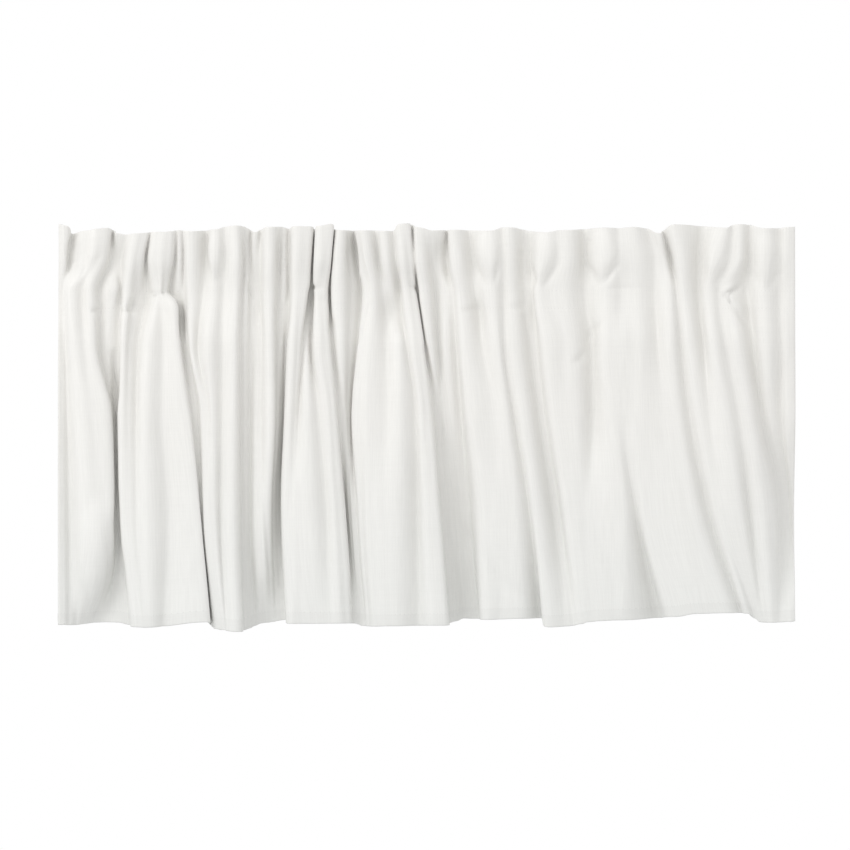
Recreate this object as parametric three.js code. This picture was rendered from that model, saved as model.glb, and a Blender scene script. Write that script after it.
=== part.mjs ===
// A gathered window valance: one hemmed panel of off-white linen-look cloth, drawn up along its
// heading so that it hangs in uneven folds. Millimetres, +Z up, the front of the cloth faces -Y.
// The origin is the middle of the top edge, halfway between the backs and the fronts of the folds.
import * as THREE from "three";

// Driving dimensions
const WIDTH = 840; // side edge to side edge, as gathered
const CLOTH = 2; // thickness of the sheet
// How fully a fold swells: full on a crest, tight in a valley, and how much crest makes it so.
const EVEN_FULLNESS = 0.95;
const EXTRA_FULLNESS = 0.35;
const FULL_CREST = 8;
const OFF_WHITE = 0xecece8;

// Heights below the top line at which each fold line is placed: the top edge, the widest part of
// the gathered heading, the heading seam that pinches the folds, four more down the drop, the hem.
const LEVELS = [0, 30, 68, 130, 205, 320, 447];
const MIDDLE_PLANE = 21; // how far the origin stands out in the table below
const GOBLET = LEVELS[1];
const LAST_FREE = LEVELS[5];
const HEM = LEVELS[6];

// One row for each crest and valley, left to right, in the order in which the cloth runs:
// its name, how far its own top and hem lie below the top line, then its distance from the left
// edge and how far it stands out, both at each level. Where a crest lies further right than the
// valley after it, the cloth laps over itself.
const FOLD_LINES = [
  ["left edge", -8.3, 449, [0, 0, 0, 0, 0, 0, 0], [22, 19, 15, 20, 24, 26, 24]],
  ["crest A", -6.8, 449, [7, 6, 4, 4, 4, 5, 6], [28, 24, 15, 19, 22, 23, 22]],
  ["valley A", 2.5, 449.5, [15, 11.5, 8, 7, 9, 11, 12], [11, 12, 20, 19, 20, 19, 17]],
  ["crest B", -0.8, 449.5, [34, 31, 14, 20, 29, 36, 20], [27, 24, 28, 38, 40, 38, 10]],
  ["dip B", -2.6, 448.5, [43, 39, 27, 31, 40, 46, 28], [32, 31, 21, 33, 38, 38, 5]],
  ["face B", -3.8, 447.2, [54, 49, 36, 39, 54, 58, 39], [30, 29, 29, 35, 38, 37, 2]],
  ["valley B", -1.5, 446.8, [62, 59.5, 46, 47, 62, 63.7, 55], [13, 13, 16, 19, 19, 18, 0]],
  ["puff", 2.2, 447, [68, 64.5, 61, 58, 65, 67, 68], [25, 13, 25, 22, 16, 15, 4]],
  ["valley C", 3.8, 449.3, [76, 71, 70, 68.5, 68.2, 70, 78], [25, 14, 18, 19, 18, 17, 6]],
  ["crest C", 2.6, 451.3, [90, 84, 79, 75, 73.8, 76, 92], [34, 33, 29, 37, 38, 37, 38]],
  ["face C", 1.9, 451.6, [99.5, 93, 88, 81, 80.5, 83, 97], [31, 30, 18, 30, 35, 37, 39]],
  ["valley D", 1.1, 451.6, [104.5, 99, 100, 90, 88.5, 89, 101], [26, 16, 10, 24, 30, 35, 39]],
  ["crest D", 0.8, 451.5, [112, 109, 113.5, 103, 100, 103, 106], [32, 31, 24, 37, 43, 42, 38]],
  ["dip D", 0.8, 450.3, [120, 116, 116.5, 120, 119, 126, 121], [32.5, 31.5, 25, 29, 34, 30, 28]],
  ["lap D", 0.2, 445.5, [128.5, 125, 120.5, 136, 146, 159.4, 170.5], [31, 29, 20, 35, 37, 38, 38]],
  ["valley E", -0.8, 447.5, [134.5, 133, 127, 141, 151.5, 161, 171.7], [25, 17, 8, 20, 24, 27, 18]],
  ["thin pleat", -1.2, 449.5, [138, 138.2, 138, 144, 155, 162.8, 173.5], [28, 24, 15, 22, 24, 26, 16]],
  ["valley F", -0.5, 451.5, [141.5, 142, 142, 147, 159, 164.8, 175.8], [25, 19, 15, 25, 23, 28, 20]],
  ["crest E", 0, 453.5, [150, 150, 151, 152, 165, 168.2, 180.5], [32, 31, 28, 34, 33, 36, 31]],
  ["dip E", -1, 454.5, [169, 168.5, 165, 159, 171, 173.5, 185.5], [12, 15, 20, 29, 34, 37, 33]],
  ["crest F", -2, 454.5, [179, 179, 178, 173, 176, 178.5, 190], [32, 33, 29, 43, 38, 37, 35]],
  ["dip F", -4.8, 455.5, [189, 190, 188, 186, 186, 184, 192], [26, 25, 23, 33, 31, 30, 35]],
  ["lap F", -6.3, 456.5, [202, 203, 202, 200, 199.5, 198, 203], [34, 35, 30, 38, 40, 39, 41]],
  ["valley G", -5.5, 455.5, [212, 211, 210, 208, 208, 210, 212], [18, 15, 17, 22, 20, 16, 6]],
  ["rib G", -3.5, 453.5, [215.5, 214.5, 214, 212.5, 212, 213, 218], [15, 16, 19, 22, 20, 16, 2]],
  ["hollow G", -1.3, 451, [219, 218.5, 219.5, 219.5, 218.5, 218, 223], [11, 13, 13, 16, 16, 14, 0]],
  ["shelf G", 0.7, 448, [225, 223, 225, 226, 226, 227, 231], [24, 19, 14, 19, 24, 28, 0]],
  ["dip G", -1.8, 447.3, [230, 229, 229.5, 231, 230, 232, 238], [18, 18, 14, 23, 24, 31, 0]],
  ["lap G", -4.8, 446.3, [241, 241, 240.5, 241, 242.5, 238.5, 245], [34, 34, 30, 36, 37, 30, 2]],
  ["valley H", -5.3, 445.3, [255, 252, 252, 250.5, 249.5, 245.5, 249], [18, 15, 15, 21, 24, 15, 2]],
  ["sliver H", -4.3, 444.3, [258.5, 257, 257.5, 255, 253.5, 249.5, 255], [16, 19, 18, 20, 19, 9, 1]],
  ["valley I", -3.2, 444, [262, 262, 262, 258.5, 257, 252.5, 260], [12, 14, 13, 15, 13, 6, 1]],
  ["crest I", -5.6, 447.3, [273, 272.5, 271, 268, 265, 262, 268], [34, 34, 30, 37, 38, 37, 41]],
  ["face I", -5.4, 447.2, [285, 282.5, 280, 274, 270.5, 267, 273], [31, 30, 28, 33, 34, 38, 40]],
  ["valley J", -3, 447.2, [290.4, 287.8, 285, 279.5, 274.5, 270.5, 280], [13, 10, 7, 24, 31, 39, 39]],
  ["ridge J", -3, 447.2, [292.4, 290, 287.7, 283, 284, 288, 296], [11, 9, 6, 25, 42, 41, 38]],
  ["valley K", -3.5, 447, [294.3, 292.2, 290.8, 287.5, 296.5, 306, 312], [12, 11, 9, 18, 34, 31, 37]],
  ["crest K", -6, 447, [299.7, 298.5, 296, 297, 307.5, 315, 322], [35, 35, 26, 37, 39, 38, 38]],
  ["lap K", -8.3, 447, [310.2, 306.8, 302, 306, 313, 321.5, 331], [33, 31, 25, 33, 36, 35, 33]],
  ["valley L", -2.5, 447.5, [315, 311.5, 308, 313.5, 320, 327.6, 337.5], [21, 14, 6, 22, 22, 11, 20]],
  ["crest L", -1, 448.5, [322.5, 320.5, 320, 322, 326, 332.4, 342], [33, 32, 30, 33, 21, 19, 18]],
  ["hollow M", -1.2, 450, [331, 332, 336, 333, 331, 336.4, 345.5], [13, 13, 13, 22, 18, 22, 18]],
  ["valley M", -1, 450.3, [336.5, 339.5, 345.8, 341.2, 334.7, 339.5, 349.5], [3, 4, 5, 16, 11, 22, 20]],
  ["ledge M", -0.8, 450.5, [341.5, 344.7, 351.7, 345, 340, 344, 353.5], [28, 24, 25, 33, 34, 29, 27]],
  ["lap M", -0.8, 450.5, [348.5, 352, 358, 356, 352, 354, 361], [34, 33, 29, 36, 39, 38, 37]],
  ["valley N", -0.8, 450, [361, 364, 370, 375, 375, 370, 375], [22, 18, 19, 26, 34, 40, 39]],
  ["crest N", -0.2, 450, [371, 374, 379, 388, 389, 386, 384], [32, 31, 19, 37, 43, 42, 39]],
  ["valley O", 0, 449.7, [382, 384, 390, 397, 407, 410, 412], [24, 23, 11, 30, 32, 27, 26]],
  ["crest O", -8.3, 449.3, [390, 393, 397, 405, 414, 420, 428], [35, 35, 28, 37, 39, 39, 39]],
  ["lap O", -8.8, 449.3, [397, 400, 403.7, 413, 421, 430, 440], [34, 30, 24, 34, 36, 38, 38]],
  ["valley P", -7.5, 447.5, [403.4, 406.2, 410.3, 418.8, 429, 436.5, 446], [20, 27, 9, 21, 18, 12, 7]],
  ["sliver P", -4.5, 445.5, [409.5, 412, 417.3, 424.5, 435, 445, 454], [32, 32, 28, 30, 16, 8, 3]],
  ["valley Q", -0.8, 442.5, [427, 427, 431, 434, 440, 455, 462], [30, 17, 12, 16, 17, 4, 0]],
  ["puff Q", -1, 442.7, [436, 435, 442, 443, 450, 459, 470], [30, 14, 20, 24, 19, 3, 0]],
  ["valley R", -1, 442.8, [442.5, 443, 449.5, 453, 459, 467, 480], [19, 8, 20, 18, 15, 4, 1]],
  ["crest R", -1.5, 442.8, [451, 454, 458, 464, 471.5, 487, 490], [33, 33, 31, 37, 40, 37, 39]],
  ["valley S", -1.2, 442.3, [468, 472, 476, 484, 498, 503, 505], [15, 17, 21, 27, 35, 38, 35]],
  ["crest S", -0.4, 441.6, [492, 494, 495, 501, 510, 521, 524], [34, 38, 37, 40, 38, 38, 37]],
  ["valley T", -4.3, 441.6, [506.5, 508, 508, 508.5, 519, 537, 551], [27, 30, 27, 33, 30, 27, 14]],
  ["lap T", -4.3, 451.3, [514, 515, 516, 520, 530, 545, 559], [34, 33, 31, 37, 38, 38, 38]],
  ["valley U", -2, 450.3, [531, 531, 533, 540, 548, 566, 582], [17, 17, 20, 22, 22, 19, 32]],
  ["floor U", -0.4, 449.6, [538, 538, 540, 545, 553, 571, 587], [16, 16, 20, 23, 24, 20, 31]],
  ["crest U", 1.4, 447.6, [558, 556, 547.5, 558, 566, 583, 597], [36, 38, 37, 43, 40, 39, 37]],
  ["dip U", -0.8, 445.5, [570, 571, 562, 577, 580, 591, 603], [34, 34, 34, 38, 39, 39, 38]],
  ["crest V", -1.2, 445, [581, 581, 576, 584, 589, 598, 609], [36, 36, 34, 38, 39, 38, 38]],
  ["valley V", -2.5, 444.2, [599.5, 601, 601, 608, 610, 606, 616], [18, 18, 20, 22, 24, 38, 38]],
  ["crest W", -3.8, 443.3, [624, 627, 625, 626, 632, 644, 640], [38, 40, 36, 43, 42, 42, 38]],
  ["valley W", -3.3, 441.3, [640, 642, 643, 644, 645, 658.5, 687], [30, 35, 30, 43, 41, 30, 8]],
  ["face X", -4.6, 439.5, [656, 658, 659, 661, 662, 668, 702], [34, 34, 32, 41, 42, 38, 38]],
  ["valley X", -3.2, 435.8, [672, 682, 681, 684, 692, 706, 728], [21, 23, 23, 29, 37, 42, 42]],
  ["crest X", 2.2, 435, [686, 690.5, 697.5, 699, 706, 725, 762], [29, 24, 32, 40, 38, 42, 42]],
  ["valley Y", -0.5, 435, [690, 699, 705, 710, 719, 741, 779], [21, 13, 26, 31, 29, 28, 28]],
  ["crest Y", -7.6, 435.7, [703, 709, 713, 719.5, 730.5, 752, 785], [35, 34, 32, 38, 39, 38, 36]],
  ["valley Z", -6, 441.5, [736, 732, 731, 736.5, 742, 758, 795], [14, 15, 18, 27, 36, 40, 30]],
  ["crest Z", -3.8, 445.5, [762, 753, 743, 748, 760, 777, 800], [36, 37, 31, 44, 46, 42, 30]],
  ["dip Z", -6.8, 446, [769, 767, 754, 761, 775, 788, 805], [31, 31, 26, 34, 36, 30, 32]],
  ["crest a", -7.8, 446, [777, 776, 763, 773, 786, 801, 813], [34, 35, 28, 38, 39, 38, 37]],
  ["valley a", -7.2, 445.7, [789, 788, 786, 793, 803, 826, 825], [25, 23, 18, 24, 22, 1, 34]],
  ["crest b", -3.2, 445.3, [806, 807, 805, 808, 813.5, 831, 831], [35, 38, 37, 43, 29, 0, 34]],
  ["valley b", -3.5, 445.3, [824, 824, 823, 824, 825, 835, 835], [22, 28, 26, 31, 25, 0, 34]],
  ["face b", -4.5, 445, [831, 831, 831, 831, 832, 837.5, 838], [29, 31, 29, 34, 35, 1, 33]],
  ["right edge", -5, 444.5, [840, 840, 840, 840, 840, 840, 840], [27, 28, 28, 31, 34, 3, 32]],
];

// Places between the levels that some fold lines also pass through: how far below the top line,
// how far from the left edge and how far out.
const WAY_POINTS = [
  ["crest B", 46, 27, 24],
  ["dip B", 385, 44, 29],
  ["face B", 385, 53, 20],
  ["valley B", 90, 48, 16],
  ["valley B", 385, 61, 8],
  ["puff", 385, 66.5, 8],
  ["lap D", 78, 129, 29],
  ["lap D", 90, 132.5, 33],
  ["valley E", 78, 134, 11],
  ["valley E", 90, 138, 10],
  ["thin pleat", 78, 139, 12],
  ["thin pleat", 90, 140.5, 11],
  ["valley F", 78, 143, 17],
  ["valley F", 90, 143, 18],
  ["shelf G", 90, 225.5, 13],
  ["shelf G", 385, 228.5, 19],
  ["dip G", 90, 230, 13],
  ["dip G", 385, 235, 21],
  ["lap G", 385, 241, 16],
  ["valley H", 90, 250, 16],
  ["sliver H", 90, 256, 16],
  ["valley I", 90, 262, 15],
  ["valley N", 90, 373, 14],
  ["crest N", 90, 383, 13],
  ["valley O", 90, 391, 11],
  ["puff Q", 46, 437, 15],
  ["valley R", 46, 444, 9],
  ["valley S", 90, 480, 18],
  ["floor U", 90, 542, 19],
  ["crest a", 90, 768, 31],
  ["valley a", 90, 789, 18],
];

// Each fold line as two curves down the drop, measured from the middle plane of the origin.
const CURVES = FOLD_LINES.map(([line, top, hem, across, out]) => {
  const places = LEVELS.map((level, k) => [level, across[k], out[k]]);
  for (const [name, ...place] of WAY_POINTS) if (name === line) places.push(place);
  places.sort((a, b) => a[0] - b[0]);
  const levels = places.map(([level]) => level);
  return {
    top,
    hem,
    across: curve(levels, places.map(([, x]) => x - WIDTH / 2)),
    forward: curve(levels, places.map(([, , y]) => y - MIDDLE_PLANE)),
  };
});

// Rows of the mesh, as heights below the top line.
const ROWS = [0, 30, 50, 68, 90, 130, 205, 260, 320, 385, 447];
// A stretch between two fold lines is cut into steps of about this length, within these counts.
const STEP = 12;
const FEWEST_STEPS = 2;
const MOST_STEPS = 3;

// Curve through values at levels that rises and falls only where they do.
function curve(levels, values) {
  const last = values.length - 1;
  const rise = (k) => (values[k + 1] - values[k]) / (levels[k + 1] - levels[k]);
  const slope = values.map((_, k) => {
    if (k === 0) return rise(0);
    if (k === last) return rise(last - 1);
    const above = rise(k - 1);
    const below = rise(k);
    return above * below > 0 ? (2 * above * below) / (above + below) : 0;
  });
  return (height) => {
    let k = 0;
    while (k < last - 1 && height > levels[k + 1]) k += 1;
    const span = levels[k + 1] - levels[k];
    const t = (height - levels[k]) / span;
    return hermite(t, values[k], span * slope[k], values[k + 1], span * slope[k + 1]);
  };
}

function hermite(t, from, leave, to, arrive) {
  const t2 = t * t;
  const t3 = t2 * t;
  return (
    (2 * t3 - 3 * t2 + 1) * from +
    (t3 - 2 * t2 + t) * leave +
    (3 * t2 - 2 * t3) * to +
    (t3 - t2) * arrive
  );
}

// Where every fold line stands at a height, and how fully the cloth swells there.
function foldPlaces(height) {
  const places = CURVES.map(({ across, forward }) => ({ x: across(height), y: forward(height) }));
  places.forEach((own, i) => {
    const before = places[Math.max(0, i - 1)];
    const after = places[Math.min(places.length - 1, i + 1)];
    const standsOut = (own.y - (before.y + after.y) / 2) / FULL_CREST;
    own.fullness = EVEN_FULLNESS + EXTRA_FULLNESS * Math.min(Math.max(standsOut, -1), 1);
  });
  return places;
}

// Point of the cloth's middle layer: t of the way from fold line i to the next, at a height.
// The cloth runs straight across at every crest and valley, so it swells and laps in between.
function clothPoint(places, i, t, height) {
  const from = places[i];
  const to = places[i + 1];
  const chord = Math.hypot(to.x - from.x, to.y - from.y);
  const ease = t * t * (3 - 2 * t);
  const top = CURVES[i].top + (CURVES[i + 1].top - CURVES[i].top) * ease;
  const hem = CURVES[i].hem + (CURVES[i + 1].hem - CURVES[i].hem) * ease;
  return new THREE.Vector3(
    hermite(t, from.x, from.fullness * chord, to.x, to.fullness * chord),
    -hermite(t, from.y, 0, to.y, 0),
    -ownHeight(height, top, hem),
  );
}

// The top edge and the hem of each fold have their own heights; between them levels are shared.
function ownHeight(height, top, hem) {
  if (height < GOBLET) return top + ((GOBLET - top) * height) / GOBLET;
  if (height > LAST_FREE) {
    return LAST_FREE + ((hem - LAST_FREE) * (height - LAST_FREE)) / (HEM - LAST_FREE);
  }
  return height;
}

function stepsBetween(from, to) {
  const lengths = LEVELS.map((height) =>
    Math.hypot(to.across(height) - from.across(height), to.forward(height) - from.forward(height)),
  );
  const wanted = Math.ceil(Math.max(...lengths) / STEP);
  return Math.min(MOST_STEPS, Math.max(FEWEST_STEPS, wanted));
}

// Middle layer of the cloth as rows of points, top to hem, each from left edge to right edge.
function middleLayer() {
  const stations = [];
  for (let i = 0; i < CURVES.length - 1; i += 1) {
    const steps = stepsBetween(CURVES[i], CURVES[i + 1]);
    for (let s = 0; s < steps; s += 1) stations.push([i, s / steps]);
  }
  stations.push([CURVES.length - 2, 1]);
  return ROWS.map((height) => {
    const places = foldPlaces(height);
    return stations.map(([i, t]) => clothPoint(places, i, t, height));
  });
}

// Level direction square to the cloth at a point of a row, pointing out of its front.
function frontward(row, column) {
  const before = row[Math.max(0, column - 1)];
  const after = row[Math.min(row.length - 1, column + 1)];
  return new THREE.Vector3(after.y - before.y, before.x - after.x, 0).normalize();
}

// Closed sheet around the middle layer: a front, a back and the four cut edges.
function sheetGeometry(rows) {
  const columns = rows[0].length;
  const positions = [];
  for (const side of [1, -1]) {
    for (const row of rows) {
      row.forEach((point, column) => {
        const offset = frontward(row, column).multiplyScalar((side * CLOTH) / 2);
        positions.push(...point.clone().add(offset).toArray());
      });
    }
  }
  const front = (r, c) => r * columns + c;
  const back = (r, c) => (rows.length + r) * columns + c;
  const faces = [];
  const quad = (a, b, c, d) => faces.push(a, b, c, a, c, d);
  const lastRow = rows.length - 1;
  const lastColumn = columns - 1;
  for (let r = 0; r < lastRow; r += 1) {
    for (let c = 0; c < lastColumn; c += 1) {
      quad(front(r, c), front(r + 1, c), front(r + 1, c + 1), front(r, c + 1));
      quad(back(r, c), back(r, c + 1), back(r + 1, c + 1), back(r + 1, c));
    }
    quad(front(r, 0), back(r, 0), back(r + 1, 0), front(r + 1, 0));
    quad(front(r, lastColumn), front(r + 1, lastColumn), back(r + 1, lastColumn), back(r, lastColumn));
  }
  for (let c = 0; c < lastColumn; c += 1) {
    quad(front(0, c), front(0, c + 1), back(0, c + 1), back(0, c));
    quad(front(lastRow, c), back(lastRow, c), back(lastRow, c + 1), front(lastRow, c + 1));
  }
  const geometry = new THREE.BufferGeometry();
  geometry.setAttribute("position", new THREE.Float32BufferAttribute(positions, 3));
  geometry.setIndex(faces);
  return geometry;
}

const linen = new THREE.MeshStandardMaterial({
  name: "linen",
  color: OFF_WHITE,
  roughness: 0.92,
  metalness: 0,
  side: THREE.DoubleSide,
});

const panel = new THREE.Mesh(sheetGeometry(middleLayer()), linen);
panel.name = "valance_panel";

const valance = new THREE.Group();
valance.name = "gathered_valance";
valance.add(panel);

export default valance;
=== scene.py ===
# A gathered window valance in off-white linen-look cloth, dressed for a close look.
import math

import bmesh
import bpy
from mathutils import Matrix, Vector, noise


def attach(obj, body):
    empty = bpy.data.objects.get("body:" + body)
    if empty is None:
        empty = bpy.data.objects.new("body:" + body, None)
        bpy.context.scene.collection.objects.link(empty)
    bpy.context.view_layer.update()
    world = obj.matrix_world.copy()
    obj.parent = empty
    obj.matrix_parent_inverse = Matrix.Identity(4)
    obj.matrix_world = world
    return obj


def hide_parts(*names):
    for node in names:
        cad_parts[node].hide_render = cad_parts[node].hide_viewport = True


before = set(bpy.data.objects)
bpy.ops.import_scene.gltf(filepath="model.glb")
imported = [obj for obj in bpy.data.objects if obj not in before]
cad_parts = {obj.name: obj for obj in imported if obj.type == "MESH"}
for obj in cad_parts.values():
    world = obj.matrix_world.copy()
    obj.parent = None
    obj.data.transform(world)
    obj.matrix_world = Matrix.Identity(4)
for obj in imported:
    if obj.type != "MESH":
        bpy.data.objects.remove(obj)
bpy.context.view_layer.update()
MM = 0.001

# Sizes of the cloth, in millimetres
WIDTH = 840            # side edge to side edge, as gathered
CUT_WIDTH = 1200       # the same cloth laid flat
CLOTH = 0.6            # thickness of the cloth
HEADING_TURN = 90      # cloth turned down behind the top edge
HEM_TURN = 13          # cloth turned up behind the hem
SIDE_TURN = 12         # cloth turned in behind each side edge
TURN_BEHIND = 2.4      # how far a turned heading or hem lies behind the front
FOLD_BEHIND = 0.4      # share of that distance right at the fold
HEADING_OPENS = 6      # how far below its fold the turned heading nears the full distance
SIDE_BEHIND = 0.9      # how far a turned side lies behind the front
SEAMS = (68, 88, 434)  # rows of stitches below the top line: two across the heading, one at the hem
STITCH = 3.2           # one stitch of a seam and the hole after it
THREAD_HALF, THREAD_EDGE = 0.25, 0.45              # across a thread: half its core, half with its edge
THREAD_ENDS, HOLE_BEGINS, HOLE_OPEN = 0.66, 0.74, 0.80    # along a stitch, as shares of it

# Heights below the top line at which each fold line is placed
LEVELS = (0, 30, 68, 130, 205, 320, 447)
GOBLET, LAST_FREE, HEM = LEVELS[1], LEVELS[5], LEVELS[6]
MIDDLE_PLANE = 21      # how far the middle of the top edge stands out
# How fully a fold swells: full on a crest, tight in a valley, and how much crest makes it so
EVEN_FULLNESS, EXTRA_FULLNESS, FULL_CREST = 0.95, 0.35, 8

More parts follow.
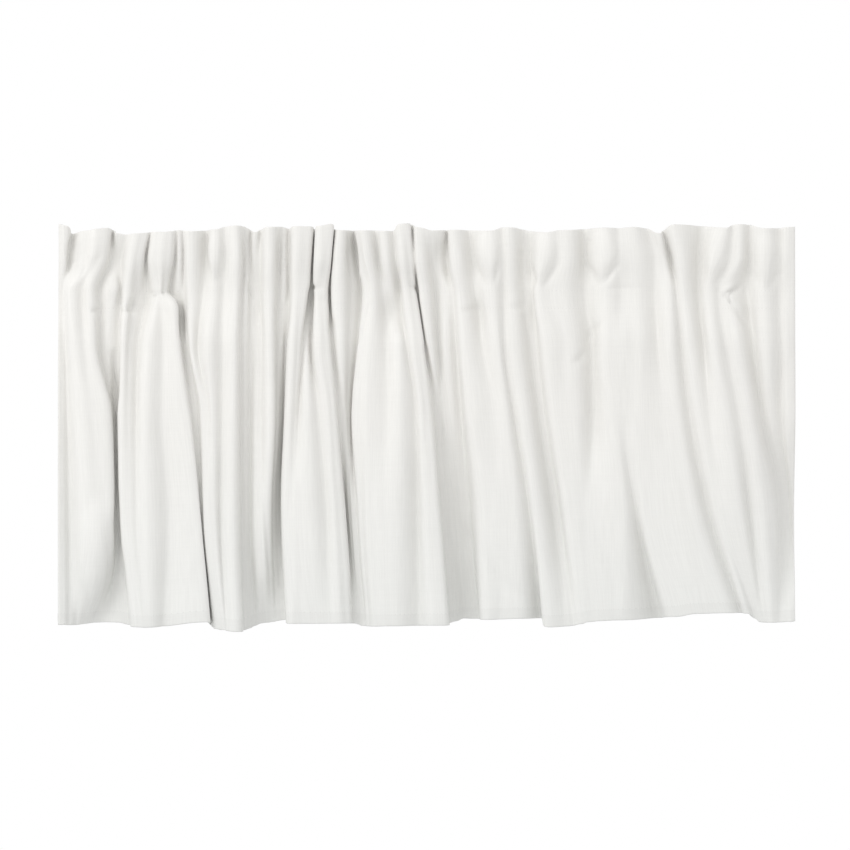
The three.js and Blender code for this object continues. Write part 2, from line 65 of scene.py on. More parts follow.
# One row for each crest and valley, left to right, in the order in which the cloth runs: its name,
# how far its own top and hem lie below the top line, then its distance from the left edge and how
# far it stands out, both at each level. Where a crest lies further right than the valley after it,
# the cloth laps over itself.
FOLD_LINES = (
    ("left edge", -8.3, 449, (0, 0, 0, 0, 0, 0, 0), (22, 19, 15, 20, 23, 24, 23)),
    ("crest A", -6.8, 449, (7, 6, 4, 4, 4, 5, 6), (28, 24, 15, 19, 22, 23, 22)),
    ("valley A", 2.5, 449.5, (15, 11.5, 8, 7, 9, 11, 12), (11, 12, 20, 19, 20, 19, 17)),
    ("crest B", -0.8, 449.5, (34, 31, 14, 20, 29, 36, 20), (27, 24, 28, 38, 40, 38, 10)),
    ("dip B", -2.6, 448.5, (43, 39, 27, 31, 40, 46, 28), (32, 31, 21, 33, 38, 38, 5)),
    ("face B", -3.8, 447.2, (54, 49, 36, 39, 54, 58, 39), (30, 29, 29, 35, 38, 37, 2)),
    ("valley B", -1.5, 446.8, (62, 59.5, 46, 47, 62, 63.7, 55), (13, 13, 16, 19, 19, 18, 0)),
    ("puff", 2.2, 447, (68, 64.5, 61, 58, 65, 67, 68), (25, 13, 25, 22, 16, 15, 4)),
    ("valley C", 3.8, 449.3, (76, 71, 70, 68.5, 68.2, 70, 78), (25, 14, 18, 19, 18, 17, 6)),
    ("crest C", 2.6, 451.3, (90, 84, 79, 75, 73.8, 76, 92), (34, 33, 29, 37, 38, 37, 38)),
    ("face C", 1.9, 451.6, (99.5, 93, 88, 81, 80.5, 83, 97), (31, 30, 18, 30, 35, 37, 39)),
    ("valley D", 1.1, 451.6, (104.5, 99, 100, 90, 88.5, 89, 101), (26, 16, 10, 24, 30, 35, 39)),
    ("crest D", 0.8, 451.5, (112, 109, 113.5, 103, 100, 103, 106), (32, 31, 24, 37, 43, 42, 38)),
    ("dip D", 0.8, 450.3, (120, 116, 116.5, 120, 119, 126, 121), (32.5, 31.5, 25, 29, 34, 30, 28)),
    ("lap D", 0.2, 445.5, (128.5, 125, 120.5, 136, 146, 159.4, 170.5), (31, 29, 20, 35, 37, 38, 38)),
    ("valley E", -0.8, 447.5, (134.5, 133, 127, 141, 151.5, 161, 171.7), (25, 17, 8, 20, 24, 27, 18)),
    ("thin pleat", -1.2, 449.5, (138, 138.2, 138, 144, 155, 162.8, 173.5), (28, 24, 15, 22, 24, 26, 16)),
    ("valley F", -0.5, 451.5, (141.5, 142, 142, 147, 159, 164.8, 175.8), (25, 19, 15, 25, 23, 28, 20)),
    ("crest E", 0, 453.5, (150, 150, 151, 152, 165, 168.2, 180.5), (32, 31, 28, 34, 33, 36, 31)),
    ("dip E", -1, 454.5, (169, 168.5, 165, 159, 171, 173.5, 185.5), (12, 15, 20, 29, 34, 37, 33)),
    ("crest F", -2, 454.5, (179, 179, 178, 173, 176, 178.5, 190), (32, 33, 29, 43, 38, 37, 35)),
    ("dip F", -4.8, 455.5, (189, 190, 188, 186, 186, 184, 192), (26, 25, 23, 33, 31, 30, 35)),
    ("lap F", -6.3, 456.5, (202, 203, 202, 200, 199.5, 198, 203), (34, 35, 30, 38, 40, 39, 41)),
    ("valley G", -5.5, 455.5, (212, 211, 210, 208, 208, 210, 212), (18, 15, 17, 22, 20, 16, 6)),
    ("rib G", -3.5, 453.5, (215.5, 214.5, 214, 212.5, 212, 213, 218), (15, 16, 19, 22, 20, 16, 2)),
    ("hollow G", -1.3, 451, (219, 218.5, 219.5, 219.5, 218.5, 218, 223), (11, 13, 13, 16, 16, 14, 0)),
    ("shelf G", 0.7, 448, (225, 223, 225, 226, 226, 227, 231), (24, 19, 14, 19, 24, 28, 0)),
    ("dip G", -1.8, 447.3, (230, 229, 229.5, 231, 230, 232, 238), (18, 18, 14, 23, 24, 31, 0)),
    ("lap G", -4.8, 446.3, (241, 241, 240.5, 241, 242.5, 238.5, 245), (34, 34, 30, 36, 37, 30, 2)),
    ("valley H", -5.3, 445.3, (255, 252, 252, 250.5, 249.5, 245.5, 249), (18, 15, 15, 21, 24, 15, 2)),
    ("sliver H", -4.3, 444.3, (258.5, 257, 257.5, 255, 253.5, 249.5, 255), (16, 19, 18, 20, 19, 9, 1)),
    ("valley I", -3.2, 444, (262, 262, 262, 258.5, 257, 252.5, 260), (12, 14, 13, 15, 13, 6, 1)),
    ("crest I", -5.6, 447.3, (273, 272.5, 271, 268, 265, 262, 268), (34, 34, 30, 37, 38, 37, 41)),
    ("face I", -5.4, 447.2, (285, 282.5, 280, 274, 270.5, 267, 273), (31, 30, 28, 33, 34, 38, 40)),
    ("valley J", -3, 447.2, (290.4, 287.8, 285, 279.5, 274.5, 270.5, 280), (13, 10, 7, 24, 31, 39, 39)),
    ("ridge J", -3, 447.2, (292.4, 290, 287.7, 283, 284, 288, 296), (11, 9, 6, 25, 42, 41, 38)),
    ("valley K", -3.5, 447, (294.3, 292.2, 290.8, 287.5, 296.5, 306, 312), (12, 11, 9, 18, 34, 31, 37)),
    ("crest K", -6, 447, (299.7, 298.5, 296, 297, 307.5, 315, 322), (35, 35, 26, 37, 39, 38, 38)),
    ("lap K", -8.3, 447, (310.2, 306.8, 302, 306, 313, 321.5, 331), (33, 31, 25, 33, 36, 35, 33)),
    ("valley L", -2.5, 447.5, (315, 311.5, 308, 313.5, 320, 327.6, 337.5), (21, 14, 6, 22, 22, 11, 20)),
    ("crest L", -1, 448.5, (322.5, 320.5, 320, 322, 326, 332.4, 342), (33, 32, 30, 33, 21, 19, 18)),
    ("hollow M", -1.2, 450, (331, 332, 336, 333, 331, 336.4, 345.5), (13, 13, 13, 22, 18, 22, 18)),
    ("valley M", -1, 450.3, (336.5, 339.5, 345.8, 341.2, 334.7, 339.5, 349.5), (3, 4, 5, 16, 11, 22, 20)),
    ("ledge M", -0.8, 450.5, (341.5, 344.7, 351.7, 345, 340, 344, 353.5), (28, 24, 25, 33, 34, 29, 27)),
    ("lap M", -0.8, 450.5, (348.5, 352, 358, 356, 352, 354, 361), (34, 33, 29, 36, 39, 38, 37)),
    ("valley N", -0.8, 450, (361, 364, 370, 375, 375, 370, 375), (22, 18, 19, 26, 34, 40, 39)),
    ("crest N", -0.2, 450, (371, 374, 379, 388, 389, 386, 384), (32, 31, 19, 37, 43, 42, 39)),
    ("valley O", 0, 449.7, (382, 384, 390, 397, 407, 410, 412), (24, 23, 11, 30, 32, 27, 26)),
    ("crest O", -8.3, 449.3, (390, 393, 397, 405, 414, 420, 428), (35, 35, 28, 37, 39, 39, 39)),
    ("lap O", -8.8, 449.3, (397, 400, 403.7, 413, 421, 430, 440), (34, 30, 24, 34, 36, 38, 38)),
    ("valley P", -7.5, 447.5, (403.4, 406.2, 410.3, 418.8, 429, 436.5, 446), (20, 27, 9, 21, 18, 12, 7)),
    ("sliver P", -4.5, 445.5, (409.5, 412, 417.3, 424.5, 435, 445, 454), (32, 32, 28, 30, 16, 8, 3)),
    ("valley Q", -0.8, 442.5, (427, 427, 431, 434, 440, 455, 462), (30, 17, 12, 16, 17, 4, 0)),
    ("puff Q", -1, 442.7, (436, 435, 442, 443, 450, 459, 470), (30, 14, 20, 24, 19, 3, 0)),
    ("valley R", -1, 442.8, (442.5, 443, 449.5, 453, 459, 467, 480), (19, 8, 20, 18, 15, 4, 1)),
    ("crest R", -1.5, 442.8, (451, 454, 458, 464, 471.5, 487, 490), (33, 33, 31, 37, 40, 37, 39)),
    ("valley S", -1.2, 442.3, (468, 472, 476, 484, 498, 503, 505), (15, 17, 21, 27, 35, 38, 35)),
    ("crest S", -0.4, 441.6, (492, 494, 495, 501, 510, 521, 524), (34, 38, 37, 40, 38, 38, 37)),
    ("valley T", -4.3, 441.6, (506.5, 508, 508, 508.5, 519, 537, 551), (27, 30, 27, 33, 30, 27, 14)),
    ("lap T", -4.3, 451.3, (514, 515, 516, 520, 530, 545, 559), (34, 33, 31, 37, 38, 38, 38)),
    ("valley U", -2, 450.3, (531, 531, 533, 540, 548, 566, 582), (17, 17, 20, 22, 22, 19, 32)),
    ("floor U", -0.4, 449.6, (538, 538, 540, 545, 553, 571, 587), (16, 16, 20, 23, 24, 20, 31)),
    ("crest U", 1.4, 447.6, (558, 556, 547.5, 558, 566, 583, 597), (36, 38, 37, 43, 40, 39, 37)),
    ("dip U", -0.8, 445.5, (570, 571, 562, 577, 580, 591, 603), (34, 34, 34, 38, 39, 39, 38)),
    ("crest V", -1.2, 445, (581, 581, 576, 584, 589, 598, 609), (36, 36, 34, 38, 39, 38, 38)),
    ("valley V", -2.5, 444.2, (599.5, 601, 601, 608, 610, 606, 616), (18, 18, 20, 22, 24, 38, 38)),
    ("crest W", -3.8, 443.3, (624, 627, 625, 626, 632, 644, 640), (38, 40, 36, 43, 42, 42, 38)),
    ("valley W", -3.3, 441.3, (640, 642, 643, 644, 645, 658.5, 687), (30, 35, 30, 43, 41, 30, 8)),
    ("face X", -4.6, 439.5, (656, 658, 659, 661, 662, 668, 702), (34, 34, 32, 41, 42, 38, 38)),
    ("valley X", -3.2, 435.8, (672, 682, 681, 684, 692, 706, 728), (21, 23, 23, 29, 37, 42, 42)),
    ("crest X", 2.2, 435, (686, 690.5, 697.5, 699, 706, 725, 762), (29, 24, 32, 40, 38, 42, 42)),
    ("valley Y", -0.5, 435, (690, 699, 705, 710, 719, 741, 779), (21, 13, 26, 31, 29, 28, 28)),
    ("crest Y", -7.6, 435.7, (703, 709, 713, 719.5, 730.5, 752, 785), (35, 34, 32, 38, 39, 38, 36)),
    ("valley Z", -6, 441.5, (736, 732, 731, 736.5, 742, 758, 795), (14, 15, 18, 27, 36, 40, 30)),
    ("crest Z", -3.8, 445.5, (762, 753, 743, 748, 760, 777, 800), (36, 37, 31, 44, 46, 42, 30)),
    ("dip Z", -6.8, 446, (769, 767, 754, 761, 775, 788, 805), (31, 31, 26, 34, 36, 30, 32)),
    ("crest a", -7.8, 446, (777, 776, 763, 773, 786, 801, 813), (34, 35, 28, 38, 39, 38, 37)),
    ("valley a", -7.2, 445.7, (789, 788, 786, 793, 803, 826, 825), (25, 23, 18, 24, 22, 1, 34)),
    ("crest b", -3.2, 445.3, (806, 807, 805, 808, 813.5, 831, 831), (35, 38, 37, 43, 29, 0, 34)),
    ("valley b", -3.5, 445.3, (824, 824, 823, 824, 825, 835, 835), (22, 28, 26, 31, 25, 0, 34)),
    ("face b", -4.5, 445, (831, 831, 831, 831, 832, 837.5, 838), (29, 31, 29, 34, 35, 1, 33)),
    ("right edge", -5, 444.5, (840, 840, 840, 840, 840, 840, 840), (27, 28, 28, 31, 34, 3, 32)),
)

# Places between the levels that some fold lines also pass through: how far below the top line, how
# far from the left edge and how far out
WAY_POINTS = (
    ("crest B", 46, 27, 24),
    ("dip B", 385, 44, 29),
    ("face B", 385, 53, 20),
    ("valley B", 90, 48, 16),
    ("valley B", 385, 61, 8),
    ("puff", 385, 66.5, 8),
    ("lap D", 78, 129, 29),
    ("lap D", 90, 132.5, 33),
    ("valley E", 78, 134, 11),
    ("valley E", 90, 138, 10),
    ("thin pleat", 78, 139, 12),
    ("thin pleat", 90, 140.5, 11),
    ("valley F", 78, 143, 17),
    ("valley F", 90, 143, 18),
    ("shelf G", 90, 225.5, 13),
    ("shelf G", 385, 228.5, 19),
    ("dip G", 90, 230, 13),
    ("dip G", 385, 235, 21),
    ("lap G", 385, 241, 16),
    ("valley H", 90, 250, 16),
    ("sliver H", 90, 256, 16),
    ("valley I", 90, 262, 15),
    ("valley N", 90, 373, 14),
    ("crest N", 90, 383, 13),
    ("valley O", 90, 391, 11),
    ("puff Q", 46, 437, 15),
    ("valley R", 46, 444, 9),
    ("valley S", 90, 480, 18),
    ("floor U", 90, 542, 19),
    ("crest a", 90, 768, 31),
    ("valley a", 90, 789, 18),
)

# Small creases pressed into the front, left to right: from (across, down) to (across, down), then how
# deep the middle is pushed back and how wide the crease is, all in millimetres
CREASES = (
    # Crumples and pinched gaps of the heading and just below it
    (10, 22, 11, 44, 2.2, 2.2),
    (15, 2, 10, 22, 2.2, 2.2),
    (37, 89, 46, 91, 2.8, 2.7),
    (64, 138, 64.5, 200, 9.0, 3.2),
    (72, 91, 94, 88, 3.4, 3.0),
    (78, 84, 94, 82, 3.0, 5.0),
    (94, 66, 84, 87, 1.8, 2.6),
    (101, 68, 116, 77, 2.2, 2.6),
    (113, 70, 124, 72, 2.0, 2.4),
    (140, 84, 141, 122, 3.0, 2.6),
    (217, 60, 221, 78, 2.2, 2.0),
    (290, 62, 299, 66, 2.4, 2.4),
    (301, 72, 304, 82, 1.6, 2.2),
    (337, 0, 343, 44, 2.4, 2.4),
    (351, 97, 343, 129, 1.8, 2.2),
    (356, 82, 351, 97, 1.6, 2.2),
    (402, 60, 408, 66, 2.0, 2.4),
    (461, 91, 482, 86, 2.0, 2.2),
    (513, 88, 533, 85, 1.5, 2.5),
    (589, 152, 600, 139, 2.4, 3.6),
    (606, 122, 617, 104, 2.6, 4.0),
    (622, 65, 664, 65, 0.9, 2.4),
    (758, 70, 769, 62, -1.8, 2.6),
    (760, 74, 771, 86, 2.6, 2.6),
    (761, 73, 777, 64, 3.2, 2.6),
    (771, 86, 786, 108, 2.6, 3.6),
    # The two sides of the neck under each rounded gather
    (171, 40, 175, 60, 1.6, 3.0),
    (187, 42, 181, 60, 1.4, 3.2),
    (474, 38, 487, 62, 2.8, 3.4),
    (503, 36, 498, 60, 2.2, 2.8),
    (538, 40, 545, 63, 2.8, 3.0),
    (569, 38, 554, 64, 2.6, 3.4),
    (603, 38, 614, 61, 3.0, 3.4),
    (638, 38, 622, 60, 3.0, 3.4),
    (737, 40, 738, 60, 1.6, 3.0),
    (763, 40, 748, 60, 1.4, 3.6),
    (793, 46, 801, 66, 1.6, 3.6),
    (822, 44, 811, 66, 1.8, 3.8),
    # Soft creases lower down
    (462, 336, 471, 352, 3.6, 3.8),
    (484, 369, 510, 404, 2.6, 5.0),
    (510, 404, 532, 417, 2.2, 5.0),
    (618, 352, 640, 415, 2.2, 6.0),
)

# Wide shallow troughs and ridges, given in the same way. They move the cloth straight back, or
# forward where the depth is below zero, so that narrow crests keep their width.
TROUGHS = (
    (-2, 110, -2, 470, -2.6, 7.0),
    (14, 150, 16, 470, 2.0, 6.0),
    (56, 392, 42, 470, 7.0, 15.0),
    (246, 392, 236, 470, 5.5, 17.0),
    (466, 392, 466, 470, 4.0, 12.0),
)

# Rounded gathers of the heading, shaped like drops, and one low bulge: across and down at the
# widest place, half the width there, how far down it begins, where its foot is (across, down),
# and how far it swells out.
GATHERS = (
    (36, 16, 21, -4, 22, 52, 1.6),
    (63.5, 64, 6, 49, 63, 90, 3.0),
    (120, 24, 15, 1, 116, 66, 1.6),
    (178.5, 22, 9, 3, 177.5, 58, 2.2),
    (488.5, 22, 15, 1, 493, 59, 3.2),
    (553.5, 24, 16, 2, 548, 60, 3.2),
    (620, 25, 18, -2, 618, 58, 3.8),
    (751, 19, 12.5, -2, 742, 58, 2.4),
    (806.5, 23, 13.5, 1, 805.5, 66, 2.6),
    # The bulge of the first fold above its hem
    (44, 376, 22, 306, 42, 446, 8.0),
)

# Narrow gaps whose two lips lean together: from (across, down) to (across, down), then how far each
# lip moves
LIPS = (
    # In the heading
    (14.5, -4, 9.5, 44, 1.2),
    (62.3, -2, 60, 38, 1.0),
    (105, -2, 98, 54, 0.9),
    (292.4, -8, 288, 66, 2.1),
    (314.5, -8, 309, 60, 2.0),
    (309, 60, 311, 100, 1.3),
    (337, -4, 343, 50, 1.6),
    (403.6, -6, 409, 68, 1.2),
    (410, 70, 418, 130, 1.6),
    (442.5, -4, 444, 54, 0.8),
    # Down the drop
    (64.5, 190, 65.5, 305, 2.0),
    (65.5, 305, 70.5, 368, 1.3),
    (152, 205, 162.5, 320, 1.0),
    (162.5, 320, 174, 452, 1.3),
    (256, 120, 252, 320, 1.0),
    (334, 200, 329, 300, 0.9),
    (329, 300, 337, 400, 1.2),
)

# Which part of a lip leans in: from how far out, over what rise, and how wide
LIP_LOW, LIP_RISE, LIP_WIDTH = 12, 10, 8
# Share of its length over which a lip fades at each end, half of it past the end
LIP_FADE = 0.2
# A crease is this deep at its ends, as a share of its middle, and ends this share of its length on
CREASE_END, CREASE_PAST = 0.4, 0.3
# Share of its half width that a gather loses on the way down to its foot
GATHER_NARROWS = 0.92
# Swells of hand-hung cloth: height, and length along the cloth and down the drop, then the place
# in the noise
COARSE_SWELL = (0.55, 26, 90, 3.1)
FINE_SWELL = (0.22, 9, 34, 8.7)

# Colours of the cloth at the heading and at the hem, the hem's with a painted cool shade, then what
# darkens or lightens it, as shares
HEADING_TONE = (0.785, 0.776, 0.750, 1)
HEM_TONE_WITH_PAINTED_COOL_SHADE = (0.762, 0.765, 0.744, 1)
PAINTED_COOL_SHADE_BEGINS = 200       # how far down the painted cool shade of the hem begins
PAINTED_HEM_SHADE = 0.972      # painted shade on the hem, where the doubled cloth lets less light through
HEM_EDGE = 0.4         # over what height its painted shade sets in
HOLE_SHADE, THREAD_SHADE = 0.90, 1.02

# Streaks in the cloth's colour: cycles a metre across and down, detail, place in the noise, then
# the range of the noise that is used and the shades at its two ends
STREAKS = (
    (900, 26, 2.0, 1.3, 0.30, 0.70, 0.973, 1.014),    # slubs of single threads down the drop
    (70, 3.0, 2.0, 5.1, 0.25, 0.75, 0.990, 1.008),    # broad bands of uneven yarn
    (24, 700, 1.0, 9.4, 0.25, 0.75, 0.990, 1.006),    # threads across
)
# Relief of the weave: cycles a metre across and down, detail, place in the noise
WEAVE = (
    (1500, 60, 1.0, 2.2),
    (60, 1500, 1.0, 7.7),
)
WEAVE_RELIEF = 0.2     # height of the threads

# Camera
VIEW_CENTRE = (-1.7, -10, -221)
VIEW_WIDTH = 969.5
VIEW_DISTANCE = 7000

# Studio, in metres and watts
LAMP_PLACE, LAMP_AIM = (-3.2, -3.6, 2.6), (0, 0, -0.2)
LAMP_SIZE = (3.0, 2.2)
LAMP_POWER = 88
FLOOR_HALF, FLOOR_HEIGHT = 3.0, -0.95


# Curves

def hermite(t, start, leave, end, arrive):
    t2, t3 = t * t, t * t * t
    return ((2 * t3 - 3 * t2 + 1) * start + (t3 - 2 * t2 + t) * leave
            + (3 * t2 - 2 * t3) * end + (t3 - t2) * arrive)


def level_slopes(levels, values):
    """Slope at each level of a curve that rises and falls only where the values do."""
    rises = [(b - a) / (hi - lo) for a, b, lo, hi in zip(values, values[1:], levels, levels[1:])]
    slopes = [rises[0]]
    for above, below in zip(rises, rises[1:]):
        slopes.append(2 * above * below / (above + below) if above * below > 0 else 0)
    return slopes + [rises[-1]]


def at_height(levels, values, slopes, height):
    """Value of that curve at a height below the top line."""
    k = 0
    while k < len(levels) - 2 and height > levels[k + 1]:
        k += 1
    span = levels[k + 1] - levels[k]
    t = (height - levels[k]) / span
    return hermite(t, values[k], span * slopes[k], values[k + 1], span * slopes[k + 1])


def ease(t):
    return t * t * (3 - 2 * t)


class FoldLine:
    """One crest or valley, as curves down the drop."""

    def __init__(self, name, top, hem, across, out):
        self.top, self.hem = top, hem
        places = list(zip(LEVELS, across, out))
        places += [(down, x, y) for line, down, x, y in WAY_POINTS if line == name]
        places.sort()
        levels = [down for down, _, _ in places]
        across = [x - WIDTH / 2 for _, x, _ in places]
        forward = [y - MIDDLE_PLANE for _, _, y in places]
        self.curves = [(levels, v, level_slopes(levels, v)) for v in (across, forward)]

    def at(self, height):
        return [at_height(*curve, height) for curve in self.curves]


LINES = [FoldLine(*row) for row in FOLD_LINES]


def own_height(height, top, hem):
    """The top edge and the hem of each fold have their own heights; between them levels are shared."""
    if height < GOBLET:
        return top + (GOBLET - top) * height / GOBLET
    if height > LAST_FREE:
        return LAST_FREE + (hem - LAST_FREE) * (height - LAST_FREE) / (HEM - LAST_FREE)
    return height


# The grid of the cloth: columns run along the width, rows from the turned hem over the front and
# the top edge to the turned heading.
STEP = 4.3             # aimed width of a column along the cloth
ROW_STEPS = ((68, 2.4), (158, 3.4), (HEM, 8.4))    # distance between rows down to each height
TOP_ROWS = (0.0, 0.7, 2.4)
LAST_ROW = HEM - 5                                  # no even row comes this near to the hem's own
HEM_ROWS = (HEM - 2.2, HEM - 0.7, float(HEM))
TURNED_HEM = (1.0, 0.5, 0.05)                       # rows of the turned hem, as shares of its depth
TURNED_HEADING = (0.4, 2, 8, 24, 44, 66, HEADING_TURN)
SIDE_FOLDED = 7        # columns of the front that each turned side lies behind
SIDE_COLUMNS = SIDE_FOLDED + 2
NEAR_EDGE = 0.1        # how near its fold the turned side's last column lies, in columns


def column_stations():
    """(fold line to the left, share of the way to the next one) for each column of the front."""
    stations = []
    for i, (a, b) in enumerate(zip(LINES, LINES[1:])):
        longest = max(math.dist(a.at(level), b.at(level)) for level in LEVELS)
        steps = max(3, math.ceil(longest / STEP))
        stations += [(i, s / steps) for s in range(steps)]
    return stations + [(len(LINES) - 2, 1.0)]


def row_heights():
    """Heights of the rows of the front, close together in the heading and wider below it."""
    heights = list(TOP_ROWS)
    while True:
        step = next(step for down, step in ROW_STEPS if heights[-1] < down)
        if heights[-1] + step >= LAST_ROW:
            return heights + list(HEM_ROWS)
        heights.append(heights[-1] + step)


STATIONS = column_stations()
HEIGHTS = row_heights()


def fullness(places):
    """How fully the cloth swells at each fold line of a row."""
    outs = [y for _, y in places]
    full = []
    for before, own, after in zip(outs[:1] + outs, outs, outs[1:] + outs[-1:]):
        stands_out = (own - (before + after) / 2) / FULL_CREST
        full.append(EVEN_FULLNESS + EXTRA_FULLNESS * min(max(stands_out, -1), 1))
    return full


def front_row(height):
    """Points of the cloth's middle layer along one level, from the left edge to the right edge."""
    places = [line.at(height) for line in LINES]
    full = fullness(places)
    row = []
    for i, t in STATIONS:
        (x0, y0), (x1, y1) = places[i], places[i + 1]
        chord = math.hypot(x1 - x0, y1 - y0)
        top = LINES[i].top + (LINES[i + 1].top - LINES[i].top) * ease(t)
        hem = LINES[i].hem + (LINES[i + 1].hem - LINES[i].hem) * ease(t)
        x = hermite(t, x0, full[i] * chord, x1, full[i + 1] * chord)
        row.append(Vector((x, -hermite(t, y0, 0, y1, 0), -own_height(height, top, hem))))
    return row


def row_normals(row):
    """Level directions square to the cloth along a row, pointing out of its front."""
    normals = []
    for c in range(len(row)):
        along = row[min(c + 1, len(row) - 1)] - row[max(c - 1, 0)]
        normals.append(Vector((along.y, -along.x, 0)).normalized())
    return normals


def pressed(point, creases):
    """How far the creases of a table push a point of the front back."""
    x, down = point.x + WIDTH / 2, -point.z
    push = 0.0
    for x0, down0, x1, down1, depth, width in creases:
        along = Vector((x1 - x0, down1 - down0))
        t = (Vector((x - x0, down - down0)) @ along) / along.length_squared
        if -CREASE_PAST < t < 1 + CREASE_PAST:
            inside = min(max(t, 0), 1)
            off = (Vector((x0, down0)) + along * inside - Vector((x, down))).length
            taper = CREASE_END + (1 - CREASE_END) * (1 - (2 * inside - 1) ** 2)
            push += depth * taper * math.exp(-(off / width) ** 2)
    return push


def gather_swell(point):
    """How far the rounded gathers of the heading push a point of the front out."""
    x, down = point.x + WIDTH / 2, -point.z
    swell = 0.0
    for middle, widest, half, top, foot, foot_down, out in GATHERS:
        if not top < down < foot_down:
            continue
        if down < widest:
            share = (widest - down) / (widest - top)
            reach = half * math.sqrt(1 - share * share)
        else:
            share = (down - widest) / (foot_down - widest)
            reach = half * (1 - ease(share) * GATHER_NARROWS)
            middle += (foot - middle) * share
        off = (x - middle) / reach
        if abs(off) < 1:
            swell += out * (1 - off * off) * (1 - share * share)
    return swell


def lean_in(point):
    """A point moved sideways where it lies on a lip of one of the narrow gaps."""
    x, down = point.x + WIDTH / 2, -point.z
    stands_out = ease(min(max((-point.y + MIDDLE_PLANE - LIP_LOW) / LIP_RISE, 0), 1))
    moved = 0.0
    for x0, down0, x1, down1, shift in LIPS:
        t = (down - down0) / (down1 - down0)
        past = LIP_FADE / 2
        if -past < t < 1 + past:
            fade = ease(min(1, (past + t) / LIP_FADE, (1 + past - t) / LIP_FADE))
            off = x - (x0 + (x1 - x0) * t)
            moved += shift * fade * math.tanh(off / 2) * math.exp(-(off / LIP_WIDTH) ** 2)
    return Vector((point.x - moved * stands_out, point.y, point.z))


def unevenness(s, height):
    """Slight swells of hand-hung cloth, in millimetres, longer down the drop than across it."""
    return sum(swell * noise.noise(Vector((s / across, height / down, place)))
               for swell, across, down, place in (COARSE_SWELL, FINE_SWELL))


def cloth_along(rows):
    """Distance along the cloth of each column, as the mean over the rows."""
    run = [0.0]
    for c in range(1, len(STATIONS)):
        run.append(run[-1] + sum((row[c] - row[c - 1]).length for row in rows) / len(rows))
    return run


def shaped_row(height, along):
    """A row of the cloth with its gathers, creases, leaning lips and slight swells."""
    row = front_row(height)
    return [lean_in(p) + n * (unevenness(s, height) + gather_swell(p) - pressed(p, CREASES))
            + Vector((0, pressed(p, TROUGHS), 0))
            for p, n, s in zip(row, row_normals(row), along)]


def turned_row(row, share):
    """A row of the turned hem or heading, behind the front; share grows from 0 at the fold."""
    behind = TURN_BEHIND * min(1, FOLD_BEHIND + share)
    return [p - n * behind for p, n in zip(row, row_normals(row))]


def with_sides(row, behind):
    """Adds the columns of the turned sides, which lie behind a row by a distance (in front if < 0)."""
    def turn(points, normals):
        made = [points[j] - normals[j] * behind for j in range(SIDE_FOLDED, 0, -1)]
        outward = (points[0] - points[1]).normalized()
        near = points[0].lerp(points[1], NEAR_EDGE) - normals[0] * behind
        edge = points[0] + outward * abs(behind) / 2 - normals[0] * behind / 2
        return made + [near, edge]

    normals = row_normals(row)
    left = turn(row, normals)
    right = turn(row[::-1], normals[::-1])
    return left + row + right[::-1]


def cloth_rows():
    """Every row of the cloth with its distance down the cut cloth, from the turned hem upwards."""
    along = cloth_along([front_row(height) for height in HEIGHTS])
    rows = []
    for share in TURNED_HEM:
        row = turned_row(shaped_row(HEM - HEM_TURN * share, along), share)
        rows.append((HEM + HEM_TURN * share, row, -SIDE_BEHIND))
    for height in reversed(HEIGHTS):
        rows.append((height, shaped_row(height, along), SIDE_BEHIND))
    for depth in TURNED_HEADING:
        row = turned_row(shaped_row(depth, along), depth / HEADING_OPENS)
        rows.append((-depth, row, -SIDE_BEHIND))
    return rows, along


# Materials

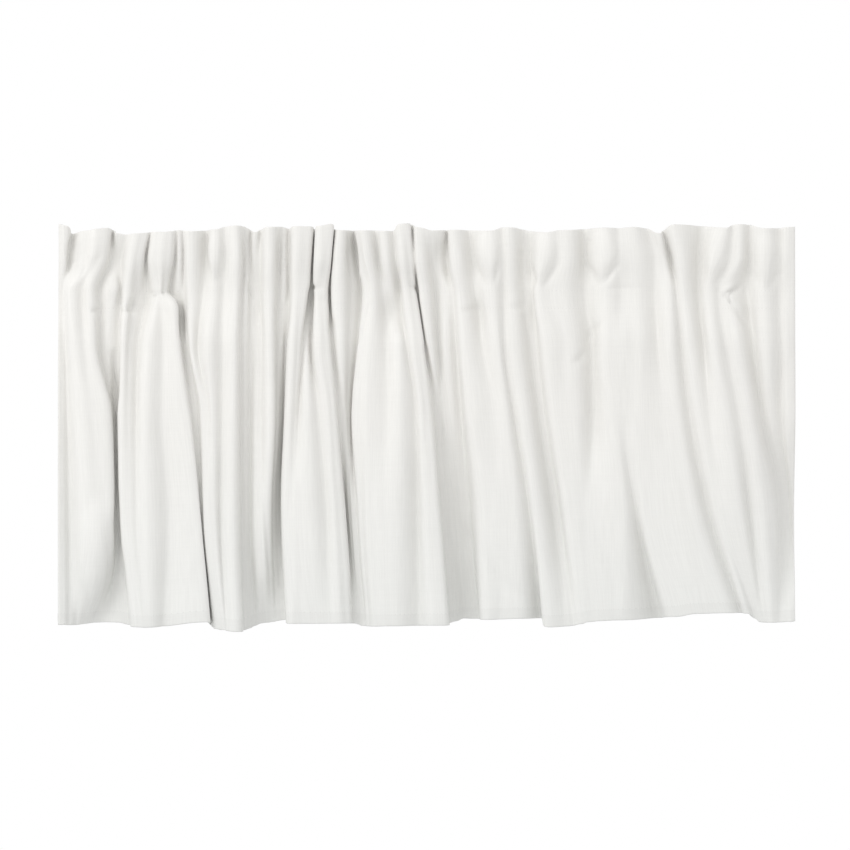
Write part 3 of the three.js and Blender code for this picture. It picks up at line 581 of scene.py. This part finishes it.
def linen_cloth():
    """Plain-woven off-white linen and cotton: fine threads both ways, slubs down the drop."""
    material = bpy.data.materials.new("off_white_linen")
    material.use_nodes = True
    nodes, links = material.node_tree.nodes, material.node_tree.links
    shader = nodes["Principled BSDF"]
    shader.inputs["Roughness"].default_value = 0.88
    shader.inputs["Specular IOR Level"].default_value = 0.25
    shader.inputs["Sheen Weight"].default_value = 0.12
    shader.inputs["Sheen Roughness"].default_value = 0.5

    def node(kind, **values):
        made = nodes.new(kind)
        for name, value in values.items():
            setattr(made, name, value)
        return made

    place = node("ShaderNodeUVMap", uv_map="cloth")

    def streaks(across, down, detail, seed):
        """Noise stretched along the threads, at so many cycles a metre each way."""
        mapping = node("ShaderNodeMapping")
        mapping.inputs["Scale"].default_value = (across, down, 1)
        mapping.inputs["Location"].default_value = (seed, seed * 0.37, 0)
        texture = node("ShaderNodeTexNoise", noise_dimensions="2D")
        texture.inputs["Scale"].default_value = 1.0
        texture.inputs["Detail"].default_value = detail
        texture.inputs["Roughness"].default_value = 0.55
        links.new(place.outputs["UV"], mapping.inputs["Vector"])
        links.new(mapping.outputs["Vector"], texture.inputs["Vector"])
        return texture.outputs["Fac"]

    def ramp(value, low, high, dark, light):
        made = node("ShaderNodeMapRange")
        made.inputs["From Min"].default_value = low
        made.inputs["From Max"].default_value = high
        made.inputs["To Min"].default_value = dark
        made.inputs["To Max"].default_value = light
        links.new(value, made.inputs["Value"])
        return made.outputs["Result"]

    def combine(a, b, operation):
        made = node("ShaderNodeMath", operation=operation)
        links.new(a, made.inputs[0])
        if isinstance(b, float):
            made.inputs[1].default_value = b
        else:
            links.new(b, made.inputs[1])
        return made.outputs["Value"]

    down = node("ShaderNodeSeparateXYZ")
    links.new(place.outputs["UV"], down.inputs["Vector"])
    # Painted shade over the doubled cloth of the hem
    hem_line = -(HEM - HEM_TURN) * MM
    shade = ramp(down.outputs["Y"], hem_line - HEM_EDGE * MM, hem_line, PAINTED_HEM_SHADE, 1.0)
    for across, along, detail, seed, low, high, dark, light in STREAKS:
        streak = ramp(streaks(across, along, detail, seed), low, high, dark, light)
        shade = combine(shade, streak, "MULTIPLY")

    # Stitches: short threads along each seam with a needle hole after each one
    on_seam = None
    for seam in SEAMS:
        off = combine(down.outputs["Y"], seam * MM, "ADD")
        near = ramp(combine(off, 0.0, "ABSOLUTE"), THREAD_HALF * MM, THREAD_EDGE * MM, 1.0, 0.0)
        on_seam = near if on_seam is None else combine(on_seam, near, "MAXIMUM")
    along = combine(combine(down.outputs["X"], STITCH * MM, "DIVIDE"), 0.0, "FRACT")
    hole = combine(ramp(along, HOLE_BEGINS, HOLE_OPEN, 0.0, 1.0), on_seam, "MULTIPLY")
    thread = combine(ramp(along, THREAD_ENDS, HOLE_BEGINS, 1.0, 0.0), on_seam, "MULTIPLY")
    shade = combine(shade, ramp(hole, 0.0, 1.0, 1.0, HOLE_SHADE), "MULTIPLY")
    shade = combine(shade, ramp(thread, 0.0, 1.0, 1.0, THREAD_SHADE), "MULTIPLY")

    # Painted cool shade: the lower part is coloured slightly cooler and darker than the heading, standing
    # in for the cooler, dimmer light that falls there
    tone = node("ShaderNodeMix", data_type="RGBA")
    tone.inputs["A"].default_value = HEADING_TONE
    tone.inputs["B"].default_value = HEM_TONE_WITH_PAINTED_COOL_SHADE
    painted_cool_shade = ramp(down.outputs["Y"], -PAINTED_COOL_SHADE_BEGINS * MM, -HEM * MM, 0.0, 1.0)
    links.new(painted_cool_shade, tone.inputs["Factor"])
    colour = node("ShaderNodeMix", data_type="RGBA", blend_type="MULTIPLY")
    colour.inputs["Factor"].default_value = 1.0
    links.new(tone.outputs["Result"], colour.inputs["A"])
    links.new(shade, colour.inputs["B"])
    links.new(colour.outputs["Result"], shader.inputs["Base Color"])

    weave = combine(streaks(*WEAVE[0]), streaks(*WEAVE[1]), "ADD")
    threads = combine(weave, combine(thread, hole, "SUBTRACT"), "ADD")
    bump = node("ShaderNodeBump")
    bump.inputs["Strength"].default_value = 0.25
    bump.inputs["Distance"].default_value = WEAVE_RELIEF * MM
    links.new(threads, bump.inputs["Height"])
    links.new(bump.outputs["Normal"], shader.inputs["Normal"])
    return material


# Pieces

def finished_piece(bm, name, material):
    mesh = bpy.data.meshes.new(name)
    bm.to_mesh(mesh)
    bm.free()
    mesh.materials.append(material)
    for polygon in mesh.polygons:
        polygon.use_smooth = True
    piece = bpy.data.objects.new(name, mesh)
    bpy.context.scene.collection.objects.link(piece)
    return piece


def valance_cloth(material):
    rows, along = cloth_rows()
    stretch = CUT_WIDTH / along[-1]
    run = [s * stretch for s in along]
    side = [SIDE_TURN * (k - SIDE_COLUMNS) / SIDE_COLUMNS for k in range(SIDE_COLUMNS)]
    run = side + run + [run[-1] - s for s in reversed(side)]
    columns, count = len(run), len(rows)
    bm = bmesh.new()
    bmesh.ops.create_grid(bm, x_segments=columns - 1, y_segments=count - 1, size=0.5)
    uv = bm.loops.layers.uv.new("cloth")
    places = [with_sides(row, behind) for _, row, behind in rows]
    for v in bm.verts:
        c = round((v.co.x + 0.5) * (columns - 1))
        r = round((v.co.y + 0.5) * (count - 1))
        for corner in v.link_loops:
            corner[uv].uv = (run[c] * MM, -rows[r][0] * MM)
        v.co = places[r][c] * MM
    cloth = finished_piece(bm, "valance_cloth", material)
    wall = cloth.modifiers.new("cloth_thickness", "SOLIDIFY")
    wall.thickness = CLOTH * MM
    wall.offset = 0
    return cloth


# Studio

def studio():
    world = bpy.data.worlds.new("studio")
    bpy.context.scene.world = world
    world.use_nodes = True
    world.node_tree.nodes["Background"].inputs["Color"].default_value = (1, 1, 1, 1)
    world.node_tree.nodes["Background"].inputs["Strength"].default_value = 1.0

    light = bpy.data.lights.new("soft_box", "AREA")
    light.shape = "RECTANGLE"
    light.size, light.size_y = LAMP_SIZE
    light.energy = LAMP_POWER
    lamp = bpy.data.objects.new("soft_box", light)
    lamp.location = LAMP_PLACE
    lamp.rotation_euler = (Vector(LAMP_AIM) - lamp.location).to_track_quat("-Z", "Y").to_euler()
    bpy.context.scene.collection.objects.link(lamp)

    bm = bmesh.new()
    bmesh.ops.create_grid(bm, x_segments=1, y_segments=1, size=FLOOR_HALF,
                          matrix=Matrix.Translation((0, 0, FLOOR_HEIGHT)))
    pale = bpy.data.materials.new("pale_floor")
    pale.use_nodes = True
    shader = pale.node_tree.nodes["Principled BSDF"]
    shader.inputs["Base Color"].default_value = (0.70, 0.70, 0.70, 1)
    shader.inputs["Roughness"].default_value = 0.9
    floor = finished_piece(bm, "floor", pale)


def camera():
    eye = bpy.data.cameras.new("camera")
    eye.sensor_width = 36
    eye.lens = 36 * VIEW_DISTANCE / VIEW_WIDTH
    eye.clip_end = 50
    holder = bpy.data.objects.new("camera", eye)
    x, y, z = VIEW_CENTRE
    holder.location = Vector((x, y - VIEW_DISTANCE, z)) * MM
    holder.rotation_euler = (math.pi / 2, 0, 0)
    bpy.context.scene.collection.objects.link(holder)
    bpy.context.scene.camera = holder


camera()
studio()
linen = linen_cloth()
cloth = valance_cloth(linen)
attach(cloth, "root")
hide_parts("valance_panel")

scene = bpy.context.scene
scene.view_settings.view_transform = "Standard"
